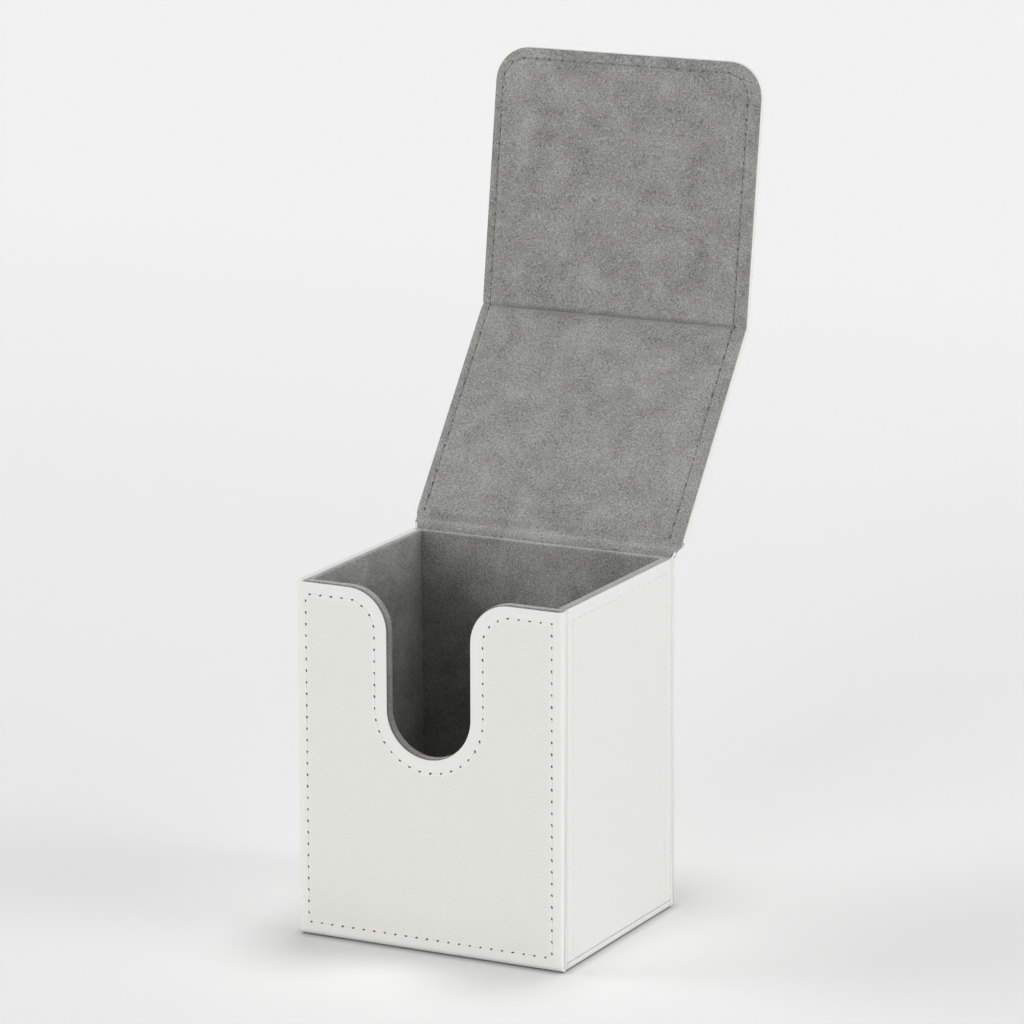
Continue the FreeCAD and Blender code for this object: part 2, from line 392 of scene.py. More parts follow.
@dataclass
class Piece:
    """A mesh on the bench, shaped with Blender's operators and picked out by place."""

    obj: bpy.types.Object

    @classmethod
    def sheet(cls, name: str, size: tuple[float, float], place: Vector, turn: tuple[float, float, float]) -> "Piece":
        """Lays out a flat sheet and opens it for editing.

        Args:
            name: name of the piece.
            size: width and length of the sheet.
            place: its middle.
            turn: rotation about X, Y and Z from lying flat, face up.

        Returns:
            The piece, in edit mode.
        """
        bpy.ops.object.select_all(action="DESELECT")
        bpy.ops.mesh.primitive_plane_add(size=1.0, location=place, rotation=turn)
        obj = bpy.context.object
        obj.name = name
        obj.data.name = name
        obj.scale = (size[0], size[1], 1.0)
        bpy.ops.object.transform_apply(location=True, rotation=True, scale=True)
        bpy.ops.object.mode_set(mode="EDIT")
        return cls(obj)

    def pick(self, kind: Element, test: Test, rim: bool = False, crease: float = 0.0) -> bool:
        """Selects the elements whose middle passes a test, and nothing else.

        Args:
            kind: vertices, edges or faces.
            test: takes the middle of an element.
            rim: only open edges.
            crease: only edges whose two faces turn by at least this angle.

        Returns:
            Whether anything was picked.
        """
        bpy.ops.mesh.select_mode(type=kind.value)
        bpy.ops.mesh.select_all(action="DESELECT")
        mesh = bmesh.from_edit_mesh(self.obj.data)
        if kind is Element.VERTS:
            chosen = [v for v in mesh.verts if not v.hide and test(v.co)]
        elif kind is Element.EDGES:
            chosen = [e for e in mesh.edges if test((e.verts[0].co + e.verts[1].co) / 2)]
            if rim:
                chosen = [e for e in chosen if e.is_boundary]
            if crease:
                chosen = [e for e in chosen if len(e.link_faces) == 2 and e.calc_face_angle() > crease]
        else:
            chosen = [f for f in mesh.faces if test(f.calc_center_median())]
        for element in chosen:
            element.select_set(True)
        mesh.select_flush_mode()
        bmesh.update_edit_mesh(self.obj.data)
        return bool(chosen)

    def bisect(self, point: Vector, normal: Vector, trim: bool = False) -> None:
        """Cuts the whole mesh by a plane.

        Args:
            point: a point of the plane.
            normal: direction that the plane faces.
            trim: also takes away what lies behind the plane.
        """
        bpy.ops.mesh.select_all(action="SELECT")
        bpy.ops.mesh.bisect(plane_co=point, plane_no=normal, clear_inner=trim, threshold=TINY / 10)

    def inset(self, width: float, lift: float = 0.0) -> None:
        """Insets the picked face, and lifts the new one along its normal."""
        bpy.ops.mesh.inset(thickness=width, depth=lift, use_boundary=True)

    def extrude(self, step: Vector) -> None:
        """Draws the picked edges out into faces."""
        bpy.ops.mesh.extrude_region_move(TRANSFORM_OT_translate={"value": step})

    def slide(self, step: Vector) -> None:
        """Moves what is picked."""
        bpy.ops.transform.translate(value=step)

    def turn(self, angle: float, centre: Vector, axis: str = "X") -> None:
        """Turns what is picked about an axis through a point; with no window the operator turns the other way."""
        bpy.ops.transform.rotate(value=-angle, orient_axis=axis, center_override=centre)

    def round_off(self, radius: float, segments: int, corners: bool = False) -> None:
        """Rounds the picked edges, or the picked corners of a flat outline."""
        bpy.ops.mesh.bevel(
            offset=radius,
            offset_type="ABSOLUTE" if corners else "OFFSET",
            segments=segments,
            affect="VERTICES" if corners else "EDGES",
            clamp_overlap=False,
        )

    def outline_indices(self) -> list[int]:
        """Indices of the corners of the picked face."""
        mesh = bmesh.from_edit_mesh(self.obj.data)
        mesh.verts.index_update()
        face = next(f for f in mesh.faces if f.select)
        return [v.index for v in face.verts]

    def pick_points(self, indices: set[int], test: Test) -> None:
        """Selects the points of a set that pass a test."""
        bpy.ops.mesh.select_mode(type="VERT")
        bpy.ops.mesh.select_all(action="DESELECT")
        mesh = bmesh.from_edit_mesh(self.obj.data)
        for vert in mesh.verts:
            if vert.index in indices and test(vert.co):
                vert.select_set(True)
        bmesh.update_edit_mesh(self.obj.data)

    def pick_face(self, indices: set[int]) -> None:
        """Selects the one face whose corners are all in a set."""
        bpy.ops.mesh.select_mode(type="FACE")
        bpy.ops.mesh.select_all(action="DESELECT")
        mesh = bmesh.from_edit_mesh(self.obj.data)
        for face in mesh.faces:
            if all(vert.index in indices for vert in face.verts):
                face.select_set(True)
        bmesh.update_edit_mesh(self.obj.data)

    def outline(self) -> list[Vector]:
        """Corners of the picked face, in order."""
        mesh = bmesh.from_edit_mesh(self.obj.data)
        face = next(f for f in mesh.faces if f.select)
        return [v.co.copy() for v in face.verts]

    def groove(
        self, margin: float, half_width: float, depth: float, moves: tuple[tuple[Test, Vector], ...] = ()
    ) -> list[Vector]:
        """Presses a stitch line into the picked face, along its outline.

        Args:
            margin: distance of the line from the outline.
            half_width: half the width of the groove.
            depth: depth of the groove.
            moves: which stretches of the line sit off that distance, and how far.

        Returns:
            Corners of the stitch line, in order.
        """
        flat = half_width * 0.6
        self.inset(margin - half_width - flat)
        inner = set(self.outline_indices())
        for test, step in moves:
            self.pick_points(inner, test)
            self.slide(step)
        self.pick_face(inner)
        self.inset(flat)
        self.inset(half_width, -depth)
        line = self.outline()
        self.inset(half_width, depth)
        self.inset(flat)
        return line

    def paint(self, finish: Finish, selected: bool) -> None:
        """Gives a finish to the picked faces, or to all the others."""
        mesh = bmesh.from_edit_mesh(self.obj.data)
        for face in mesh.faces:
            if face.select == selected:
                face.material_index = finish.value
        bmesh.update_edit_mesh(self.obj.data)

    def close_edit(self) -> None:
        """Merges doubles and leaves edit mode."""
        bpy.ops.mesh.select_all(action="SELECT")
        bpy.ops.mesh.remove_doubles(threshold=TINY / 5)
        bpy.ops.object.mode_set(mode="OBJECT")

    def modify(self, kind: str, **settings: object) -> None:
        """Adds a modifier with its settings and applies it."""
        bpy.ops.object.select_all(action="DESELECT")
        self.obj.select_set(True)
        bpy.context.view_layer.objects.active = self.obj
        modifier = self.obj.modifiers.new(kind.lower(), kind)
        for name, value in settings.items():
            setattr(modifier, name, value)
        bpy.ops.object.modifier_apply(modifier=modifier.name)

    def thicken(
        self, thickness: float, soft_edge: float, soft: Test = lambda p: True, bare_and_shaded: Test = lambda p: False
    ) -> None:
        """Gives the sheet its thickness, behind its face, and softens the cut edges of that face.

        Args:
            thickness: thickness of the sheet.
            soft_edge: radius of the softened edges.
            soft: which edges are softened, by their middle.
            bare_and_shaded: which cut edges show their backing, painted darker as shade, by the middle of their faces.
        """
        self.close_edit()
        count = len(self.obj.data.polygons)
        self.modify("SOLIDIFY", thickness=thickness, offset=-1.0, use_even_offset=True, use_quality_normals=True)
        bpy.ops.object.mode_set(mode="EDIT")
        bpy.ops.mesh.select_mode(type="EDGE")
        bpy.ops.mesh.select_all(action="DESELECT")
        mesh = bmesh.from_edit_mesh(self.obj.data)
        mesh.faces.index_update()
        for face in mesh.faces:
            # Bare cut edges take the dark backing tone, partly painted shade.
            if face.index >= 2 * count and bare_and_shaded(face.calc_center_median()):
                face.material_index = Finish.CUT_EDGE.value
        for edge in mesh.edges:
            front, cut = sorted(face.index for face in edge.link_faces)
            if front < count and cut >= 2 * count and soft((edge.verts[0].co + edge.verts[1].co) / 2):
                edge.select_set(True)
        bmesh.update_edit_mesh(self.obj.data)
        self.round_off(soft_edge, 3)
        bpy.ops.object.mode_set(mode="OBJECT")

    def place(self, matrix: Matrix) -> None:
        """Brings the piece from the bench to its place and applies it."""
        bpy.ops.object.select_all(action="DESELECT")
        self.obj.select_set(True)
        bpy.context.view_layer.objects.active = self.obj
        self.obj.matrix_world = matrix
        bpy.ops.object.transform_apply(location=True, rotation=True, scale=True)

    def dress(self, materials: list[bpy.types.Material], slot: Slot) -> None:
        """Smooths the shading and puts the materials on.

        Args:
            materials: materials in the order of the mesh's indices.
            slot: material slot of the record; not used.
        """
        bpy.ops.object.select_all(action="DESELECT")
        self.obj.select_set(True)
        bpy.context.view_layer.objects.active = self.obj
        bpy.ops.object.shade_smooth_by_angle(angle=math.radians(40))
        self.modify("WEIGHTED_NORMAL", keep_sharp=True)
        stock = self.obj.data.materials
        for index, material in enumerate(materials):
            if index < len(stock):
                stock[index] = material
            else:
                stock.append(material)
        LOG.info("%s: %d faces", self.obj.name, len(self.obj.data.polygons))


def clip_path(points: list[Vector], height: Callable[[Vector], float]) -> list[Vector]:
    """Opens a closed line at the part that lies under a limit.

    Args:
        points: corners of the closed line, in order.
        height: height over the limit.

    Returns:
        The corners above the limit, with the two ends on it.
    """
    count = len(points)
    first = next(i for i in range(count) if height(points[i]) > 0 >= height(points[i - 1]))
    ordered = [points[(first + i) % count] for i in range(count)]
    kept = [p for p in ordered if height(p) > 0]
    before = ordered[-1]
    after = ordered[len(kept)]
    ends = []
    for inside, outside in ((kept[0], before), (kept[-1], after)):
        share = height(inside) / (height(inside) - height(outside))
        ends.append(inside.lerp(outside, share))
    return [ends[0]] + kept + [ends[1]]


def walk(points: list[Vector], pitch: float, closed: bool) -> list[tuple[Vector, Vector]]:
    """Marks even steps along a line.

    Args:
        points: corners of the line, in order.
        pitch: wanted distance of the marks.
        closed: whether the line runs back to its start.

    Returns:
        Place and direction of each mark.
    """
    corners = points + points[:1] if closed else points
    runs = [(a, b, (b - a).length) for a, b in zip(corners, corners[1:])]
    length = sum(run[2] for run in runs)
    count = round(length / pitch)
    step = length / count
    marks = []
    passed = 0.0
    wanted = 0.0
    for a, b, run in runs:
        while wanted <= passed + run and len(marks) < count + (0 if closed else 1):
            marks.append((a.lerp(b, (wanted - passed) / run), (b - a).normalized()))
            wanted += step
        passed += run
    return marks


@dataclass
class Sewing:
    """A row of lock stitches: thread between needle holes, modelled once and copied along a line."""

    pitch: float = 3.2 * MM
    thread: float = 0.5 * MM
    gap: float = 0.95 * MM
    sink: float = 0.25 * MM
    hole: float = 0.58 * MM
    hole_stretch: float = 1.65
    hole_depth: float = 0.7 * MM
    lean: float = math.radians(7)
    twist: float = 0.5
    uneven: float = 0.14
    thread_sides: int = 8
    hole_sides: int = 10

    def one_stitch(self, length: float) -> bpy.types.Object:
        """Models one stitch: a thread along X that dives at both ends.

        Args:
            length: length of the stitch.

        Returns:
            The stitch, at the origin.
        """
        bpy.ops.object.select_all(action="DESELECT")
        bpy.ops.mesh.primitive_cylinder_add(
            vertices=self.thread_sides, radius=self.thread / 2, depth=length, rotation=(0, QUARTER, 0)
        )
        piece = Piece(bpy.context.object)
        bpy.ops.object.transform_apply(location=False, rotation=True, scale=False)
        bpy.ops.object.mode_set(mode="EDIT")
        for share in (-0.36, -0.18, 0.18, 0.36):
            piece.bisect(Vector((share * length, 0, 0)), Vector((1, 0, 0)))
        piece.pick(Element.VERTS, lambda p: abs(p.x) > 0.3 * length)
        piece.slide(Vector((0, 0, -0.35 * self.sink)))
        piece.pick(Element.VERTS, lambda p: abs(p.x) > 0.45 * length)
        piece.slide(Vector((0, 0, -0.65 * self.sink)))
        piece.close_edit()
        return piece.obj

    def one_hole(self) -> bpy.types.Object:
        """Models the needle that pierces one hole, along Z."""
        bpy.ops.object.select_all(action="DESELECT")
        bpy.ops.mesh.primitive_cylinder_add(vertices=self.hole_sides, radius=self.hole / 2, depth=self.hole_depth)
        piece = Piece(bpy.context.object)
        bpy.ops.object.mode_set(mode="EDIT")
        piece.pick(Element.VERTS, lambda p: True)
        bpy.ops.transform.resize(value=(self.hole_stretch, 1.0, 1.0))
        piece.pick(Element.VERTS, lambda p: p.z < 0)
        bpy.ops.transform.resize(value=(0.7, 0.7, 1.0))
        piece.close_edit()
        return piece.obj

    def copies(self, model: bpy.types.Object, frames: list[Matrix], name: str) -> Piece:
        """Copies a model to each frame, each copy with its own mesh, and joins them.

        Args:
            model: the piece that repeats, used up here.
            frames: where the copies go.
            name: name of the joined piece.

        Returns:
            The joined piece, placed.
        """
        bpy.ops.object.select_all(action="DESELECT")
        for frame in frames:
            copy = model.copy()
            copy.data = model.data.copy()
            copy.matrix_world = frame
            bpy.context.scene.collection.objects.link(copy)
            copy.select_set(True)
            bpy.context.view_layer.objects.active = copy
        bpy.data.objects.remove(model)
        bpy.ops.object.join()
        joined = bpy.context.object
        joined.name = name
        joined.data.name = name
        bpy.ops.object.transform_apply(location=True, rotation=True, scale=True)
        return Piece(joined)

    def row(self, name: str, line: list[Vector], closed: bool, normal: Vector, seed: int) -> Piece:
        """Sews a row of stitches.

        Args:
            name: name of the row.
            line: corners of the stitch line.
            closed: whether the line runs back to its start.
            normal: direction that the panel faces.
            seed: start of the small irregularities.

        Returns:
            The row of thread.
        """
        dice = random.Random(seed)
        marks = [place for place, _ in walk(line, self.pitch, closed)]
        pairs = list(zip(marks, marks[1:] + marks[:1] if closed else marks[1:]))
        frames = []
        for a, b in pairs:
            along = (b - a).normalized()
            across = normal.cross(along)
            turned = Matrix((along, across, normal)).transposed().to_4x4()
            lean = Matrix.Rotation(self.lean + dice.uniform(-0.05, 0.05), 4, "Z")
            stretch = Matrix.Diagonal((((b - a).length - self.gap) / (self.pitch - self.gap), 1, 1, 1))
            frames.append(Matrix.Translation((a + b) / 2) @ turned @ lean @ stretch)
        return self.copies(self.one_stitch(self.pitch - self.gap), frames, name)

    def pierce(self, piece: Piece, line: list[Vector], closed: bool, normal: Vector, seed: int) -> None:
        """Pierces the needle holes of a row through a panel.

        Args:
            piece: thickened panel.
            line: corners of the stitch line.
            closed: whether the line runs back to its start.
            normal: direction that the panel faces.
            seed: start of the small irregularities.
        """
        dice = random.Random(seed)
        frames = []
        for place, along in walk(line, self.pitch, closed):
            turned = Matrix((along, normal.cross(along), normal)).transposed().to_4x4()
            lean = Matrix.Rotation(dice.uniform(0.0, self.twist), 4, "Z")
            swell = Matrix.Diagonal((*[1 + dice.uniform(-self.uneven, self.uneven) for _ in range(2)], 1, 1))
            frames.append(Matrix.Translation(place) @ turned @ lean @ swell)
        needle = self.copies(self.one_hole(), frames, piece.obj.name + "_needle")
        for finish in Finish:
            needle.obj.data.materials.append(None)
            piece.obj.data.materials.append(None)
        # The hole walls take the needle-hole tone, painted darker as shade.
        for face in needle.obj.data.polygons:
            face.material_index = Finish.NEEDLE_HOLE.value
        piece.modify("BOOLEAN", object=needle.obj, operation="DIFFERENCE", solver="EXACT")
        bpy.data.objects.remove(needle.obj)


# The box


@dataclass(frozen=True)
class BoxSizes:
    """Sizes of the box, read from the frame."""

    half_width: float
    front: float
    back: float
    height: float
    skin: float
    panel: float
    wall: float
    base_panel: float
    floor: float

    @classmethod
    def from_frame(cls) -> "BoxSizes":
        """Reads the sizes from the CAD nodes."""
        skin_low, skin_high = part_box("front_skin")
        board_low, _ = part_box("front_board")
        _, lining_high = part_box("front_lining")
        _, back_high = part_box("back_skin")
        _, base_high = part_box("base_board")
        _, floor_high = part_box("base_lining")
        return cls(
            half_width=skin_high.x,
            front=skin_low.y,
            back=back_high.y,
            height=skin_high.z,
            skin=board_low.y - skin_low.y,
            panel=skin_high.y - skin_low.y,
            wall=lining_high.y - skin_low.y,
            base_panel=base_high.z,
            floor=floor_high.z,
        )


@dataclass
class Walls:
    """The covered and lined walls of the box: front, sides and floor; the back goes with the lid."""

    sizes: BoxSizes
    finishes: Finishes
    sewing: Sewing
    notch_width: float = 24.4 * MM
    notch_depth: float = 44.4 * MM
    notch_flare: float = 11.5 * MM
    fold_radius: float = 2.2 * MM
    edge_radius: float = 1.2 * MM
    stitch_margin: float = 3.4 * MM
    front_margin: float = 3.78 * MM
    groove_half: float = 0.4 * MM
    groove_depth: float = 0.08 * MM
    soft_edge: float = 0.3 * MM
    cut_back: float = 0.12 * MM
    seam_gap: float = 0.14 * MM
    rim_gap: float = 0.14 * MM
    rim_step: float = 0.02 * MM
    rim_round: float = 0.55 * MM
    left_turn: float = 1.8 * MM
    overrun: float = 12.0 * MM

    def cover_thickness(self) -> float:
        """Thickness of the leatherette, a hair less than its solid's."""
        return self.sizes.skin * 0.94

    def cut_notch(self, piece: Piece, grow: float) -> None:
        """Cuts the thumb notch into a flat wall: square first, then its corners are rounded.

        Args:
            piece: flat sheet of the wall in the XZ plane.
            grow: how far the notch is drawn back from its edge all round.
        """
        half = self.notch_width / 2 + grow
        top = self.sizes.height - grow
        low = self.sizes.height - self.notch_depth - grow
        for x in (-half, half):
            piece.bisect(Vector((x, 0, 0)), Vector((1, 0, 0)))
        piece.bisect(Vector((0, 0, low)), Vector((0, 0, 1)))
        piece.pick(Element.FACES, lambda p: abs(p.x) < half and p.z > low)
        bpy.ops.mesh.delete(type="FACE")
        piece.pick(Element.FACES, lambda p: True)
        bpy.ops.mesh.dissolve_faces()
        edge = max(v.co.x for v in bmesh.from_edit_mesh(piece.obj.data).verts)
        bottom = min(v.co.z for v in bmesh.from_edit_mesh(piece.obj.data).verts)
        piece.pick(
            Element.VERTS,
            lambda p: (abs(p.x) > edge - TINY and abs(p.z - low) < TINY)
            or (abs(p.x) < half + TINY and p.z < bottom + TINY),
        )
        bpy.ops.mesh.dissolve_verts()
        piece.pick(Element.VERTS, lambda p: abs(p.x) < half + TINY and abs(p.z - low) < TINY)
        piece.round_off(half * 0.9995, 22, corners=True)
        piece.pick(Element.VERTS, lambda p: abs(p.x) < half + TINY and p.z > top - TINY)
        piece.round_off(self.notch_flare - grow, 14, corners=True)

    def turn_in(self, piece: Piece, outward: float) -> None:
        """Turns the side and bottom edges of a cover round its board.

        Args:
            piece: flat cover with its stitch line pressed in.
            outward: sign of Y that the cover faces.
        """
        s = self.sizes
        face = s.back * outward
        piece.pick(Element.EDGES, lambda p: abs(p.x) > s.half_width - TINY or p.z < TINY, rim=True)
        piece.extrude(Vector((0, -outward * (s.panel - self.seam_gap), 0)))
        piece.pick(Element.EDGES, lambda p: abs(p.y - face) < TINY and p.z < TINY)
        piece.round_off(self.fold_radius, 7)
        piece.pick(Element.EDGES, lambda p: abs(p.x) > s.half_width - TINY, crease=0.6)
        piece.round_off(self.edge_radius, 5)

    def front_cover(self) -> None:
        """Front: leatherette with the notch, a stitch line all round and turned edges."""
        s = self.sizes
        normal = Vector((0, -1, 0))
        top = s.height - self.cut_back
        piece = Piece.sheet(
            "front_cover", (2 * s.half_width, top), Vector((0, s.front, top / 2)), (QUARTER, 0, 0)
        )
        self.cut_notch(piece, self.cut_back)
        piece.pick(Element.FACES, lambda p: True)
        edge = s.half_width - self.front_margin
        moves = (
            (lambda p: p.x < -edge, Vector((-0.88 * MM, 0, 0))),
            (lambda p: p.x > edge, Vector((0.53 * MM, 0, 0))),
            (lambda p: p.z < self.front_margin, Vector((0, 0, 0.12 * MM))),
            (lambda p: p.z > top - self.front_margin, Vector((0, 0, 0.4 * MM))),
        )
        line = piece.groove(self.front_margin, self.groove_half, self.groove_depth, moves)
        # Faces outside the stitch line take the border tone, partly a painted highlight.
        piece.paint(Finish.BORDER, selected=False)
        self.turn_in(piece, -1)
        rim = s.half_width - self.edge_radius
        # Cut edges in the upper part, by the notch and the top, take the dark backing tone, partly painted shade.
        piece.thicken(
            self.cover_thickness(), self.soft_edge, bare_and_shaded=lambda p: abs(p.x) < rim and p.z > s.height / 2 - self.overrun
        )
        self.sewing.pierce(piece, line, True, normal, 31)
        self.finish_cover(piece, self.finishes.leatherette(), "front_skin")
        self.finish_row(self.sewing.row("front_stitching", line, True, normal, 11))

    def side_cover(self, side: Side) -> None:
        """Side: leatherette panel between the turned edges of front and back, stitched on three edges."""
        s = self.sizes
        name = side.name.lower()
        normal = Vector((side.value, 0, 0))
        reach = s.back - s.panel
        low = s.base_panel + self.seam_gap - self.overrun
        turned = side is Side.LEFT
        top = s.height if turned else s.height - self.cut_back
        piece = Piece.sheet(
            name + "_cover",
            (2 * reach, top - low),
            Vector((side.value * s.half_width, 0, (top + low) / 2)),
            (QUARTER, 0, side.value * QUARTER),
        )
        piece.pick(Element.FACES, lambda p: True)
        line = piece.groove(self.stitch_margin, self.groove_half, self.groove_depth)
        # Faces outside the stitch line take the border tone, partly a painted highlight.
        piece.paint(Finish.BORDER, selected=False)
        bottom = low + self.overrun
        piece.bisect(Vector((0, 0, bottom)), Vector((0, 0, 1)), trim=True)
        if turned:
            piece.pick(Element.EDGES, lambda p: p.z > top - TINY, rim=True)
            piece.extrude(Vector((-side.value * self.left_turn, 0, 0)))
            piece.pick(Element.EDGES, lambda p: p.z > top - TINY, crease=0.6)
            piece.round_off(self.soft_edge, 3)
            piece.pick(Element.EDGES, lambda p: p.z > top - TINY and p.y < TINY - reach, rim=True)
            piece.extrude(Vector((0, self.rim_round + reach - s.back, 0)))
        piece.thicken(self.cover_thickness(), self.soft_edge)
        line = clip_path(line, lambda p: p.z - bottom - self.sewing.pitch / 2)
        sewing = Sewing(pitch=3.5 * MM, hole=0.34 * MM, thread=0.34 * MM)
        sewing.pierce(piece, line, False, normal, 32 + side.value)
        # The side's field is the lighter copy, painted light.
        self.finish_cover(piece, self.finishes.side(), name + "_skin")
        self.finish_row(sewing.row(name + "_stitching", line, False, normal, 12 + side.value))

    def base_cover(self) -> None:
        """Underside: leatherette turned up round the two side edges of the floor."""
        s = self.sizes
        reach = s.back - s.panel
        piece = Piece.sheet("base_cover", (2 * s.half_width, 2 * reach), Vector((0, 0, 0)), (math.pi, 0, 0))
        piece.pick(Element.EDGES, lambda p: abs(p.x) > s.half_width - TINY, rim=True)
        piece.extrude(Vector((0, 0, s.base_panel)))
        piece.pick(Element.EDGES, lambda p: abs(p.x) > s.half_width - TINY, crease=0.6)
        piece.round_off(self.edge_radius, 5)
        piece.paint(Finish.FIELD, selected=False)
        piece.thicken(self.cover_thickness(), self.soft_edge)
        # The underside takes the side panel's materials, with their lighter field painted light.
        self.finish_cover(piece, self.finishes.side(), "base_skin")

    def front_lining(self) -> None:
        """Front: suede behind the wall, turned over the rim and through the notch."""
        s = self.sizes
        half = s.half_width - s.panel
        inner = s.front + s.wall
        top = s.height - self.rim_step
        piece = Piece.sheet(
            "front_suede", (2 * half, top - s.base_panel), Vector((0, inner, (top + s.base_panel) / 2)), (-QUARTER, 0, 0)
        )
        self.cut_notch(piece, self.rim_step)
        piece.pick(Element.EDGES, lambda p: abs(p.x) < half - TINY and p.z > s.base_panel + TINY, rim=True)
        piece.extrude(Vector((0, s.skin + self.rim_gap - s.wall, 0)))
        for side in Side:
            covered = self.left_turn + self.rim_gap if side is Side.LEFT else s.skin
            piece.pick(
                Element.EDGES, lambda p: p.x * side.value > half - TINY and p.z > top - TINY, rim=True
            )
            piece.extrude(Vector((side.value * (s.panel - covered), 0, 0)))
        piece.pick(Element.EDGES, lambda p: abs(p.y - inner) < TINY and p.z > s.base_panel + TINY, crease=0.6)
        piece.round_off(self.rim_round, 4)
        self.finish_lining(piece, "front_lining")

    def side_lining(self, side: Side) -> None:
        """Side: suede inside the wall, turned over its rim."""
        s = self.sizes
        name = side.name.lower()
        reach = s.back - s.wall
        inner = s.half_width - s.wall
        top = s.height - self.rim_step
        piece = Piece.sheet(
            name + "_suede",
            (2 * reach, top - s.base_panel),
            Vector((side.value * inner, 0, (top + s.base_panel) / 2)),
            (QUARTER, 0, -side.value * QUARTER),
        )
        covered = self.left_turn if side is Side.LEFT else s.skin
        piece.pick(Element.EDGES, lambda p: p.z > top - TINY)
        piece.extrude(Vector((side.value * (s.wall - covered - self.rim_gap), 0, 0)))
        piece.pick(Element.EDGES, lambda p: p.z > top - TINY, crease=0.6)
        piece.round_off(self.rim_round, 4)
        self.finish_lining(piece, name + "_lining")

    def base_lining(self) -> None:
        """Floor: suede sheet that fills the bottom between the wall linings."""
        s = self.sizes
        half = s.half_width - s.wall
        reach = s.back - s.wall
        piece = Piece.sheet("base_suede", (2 * half, 2 * reach), Vector((0, 0, s.floor)), (0, 0, 0))
        piece.pick(Element.FACES, lambda p: True)
        piece.inset(1.2 * MM)
        self.finish_lining(piece, "base_lining")

    def finish_cover(self, piece: Piece, materials: list[bpy.types.Material], *nodes: str) -> None:
        """Dresses a cover that rides on the box and stands for CAD nodes."""
        piece.dress(materials, Slot.LEATHERETTE)
        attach(piece.obj, "box")
        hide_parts(*nodes)

    def finish_lining(self, piece: Piece, *nodes: str) -> None:
        """Thickens and dresses a lining that rides on the box and stands for CAD nodes."""
        s = self.sizes
        piece.thicken((s.wall - s.panel) * 0.85, 0.15 * MM)
        piece.dress(self.finishes.lining(), Slot.SUEDE)
        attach(piece.obj, "box")
        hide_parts(*nodes)

    def finish_row(self, piece: Piece) -> None:
        """Dresses a row of white thread that rides on the box."""
        piece.dress([self.finishes.white_thread], Slot.LEATHERETTE)
        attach(piece.obj, "box")

    def build(self) -> None:
        """Makes the walls, apart from the back, which goes with the lid's hinge."""
        self.front_cover()
        self.base_cover()
        for side in Side:
            self.side_cover(side)
            self.side_lining(side)
        self.front_lining()
        self.base_lining()


# The lid


@dataclass(frozen=True)
class LidSizes:
    """Sizes of the lid and its closing flap, on a bench where the lid lies flat, lining up.

    On the bench the hinge line is at the origin, the lid runs along +Y and its outside faces -Z.
    """

    hinge: Vector
    tilt: float
    bend: float
    half_width: float
    start: float
    fold: float
    fold_level: float
    flex: float
    end: float
    outside: float
    lip: float
    inside: float
    lining: float

    @classmethod
    def from_frame(cls, frame: dict) -> "LidSizes":
        """Reads the sizes from the joints and, turned back to the bench, from the CAD nodes.


        Returns:
            The sizes.
        """
        joints = {joint["name"]: joint for joint in frame["joints"]}
        hinge = Vector(joints["lid_hinge"]["pos_m"])
        fold = Vector(joints["flap_fold"]["pos_m"])
        tilt = math.pi + math.radians(joints["lid_hinge"]["range_deg"][0])
        bend = QUARTER + math.radians(joints["flap_fold"]["range_deg"][0])
        to_bench = (Matrix.Translation(hinge) @ Matrix.Rotation(tilt, 4, "X")).inverted()
        fold_bench = to_bench @ fold
        unfold = Matrix.Translation(fold_bench) @ Matrix.Rotation(-bend, 4, "X") @ Matrix.Translation(-fold_bench)

        def spread(node: str, matrix: Matrix) -> tuple[Vector, Vector]:
            points = [matrix @ v.co for v in frame["nodes"][node].data.vertices]
            return Vector(map(min, zip(*points))), Vector(map(max, zip(*points)))

        skin_low, skin_high = spread("lid_skin", to_bench)
        lining_low, lining_high = spread("lid_lining", to_bench)
        _, flap_high = spread("flap_skin", unfold @ to_bench)
        return cls(
            hinge=hinge,
            tilt=tilt,
            bend=bend,
            half_width=skin_high.x,
            start=skin_low.y,
            fold=fold_bench.y,
            fold_level=fold_bench.z,
            flex=fold_bench.y - skin_high.y,
            end=flap_high.y,
            outside=skin_low.z,
            lip=skin_high.z,
            inside=lining_high.z,
            lining=lining_high.z - lining_low.z,
        )

    def to_rest(self) -> Matrix:
        """Brings a piece from the bench to the open lid."""
        return Matrix.Translation(self.hinge) @ Matrix.Rotation(self.tilt, 4, "X")

    def lid_point(self, reach: float, level: float) -> Vector:
        """Point of the open lid, from its place on the bench."""
        return self.to_rest() @ Vector((0, reach, level))

    def flap_point(self, reach: float) -> Vector:
        """Point of the open flap's middle, at a reach from the fold."""
        turned = Matrix.Rotation(self.bend, 4, "X") @ Vector((0, reach, 0))
        return self.to_rest() @ (Vector((0, self.fold, self.fold_level)) + turned)


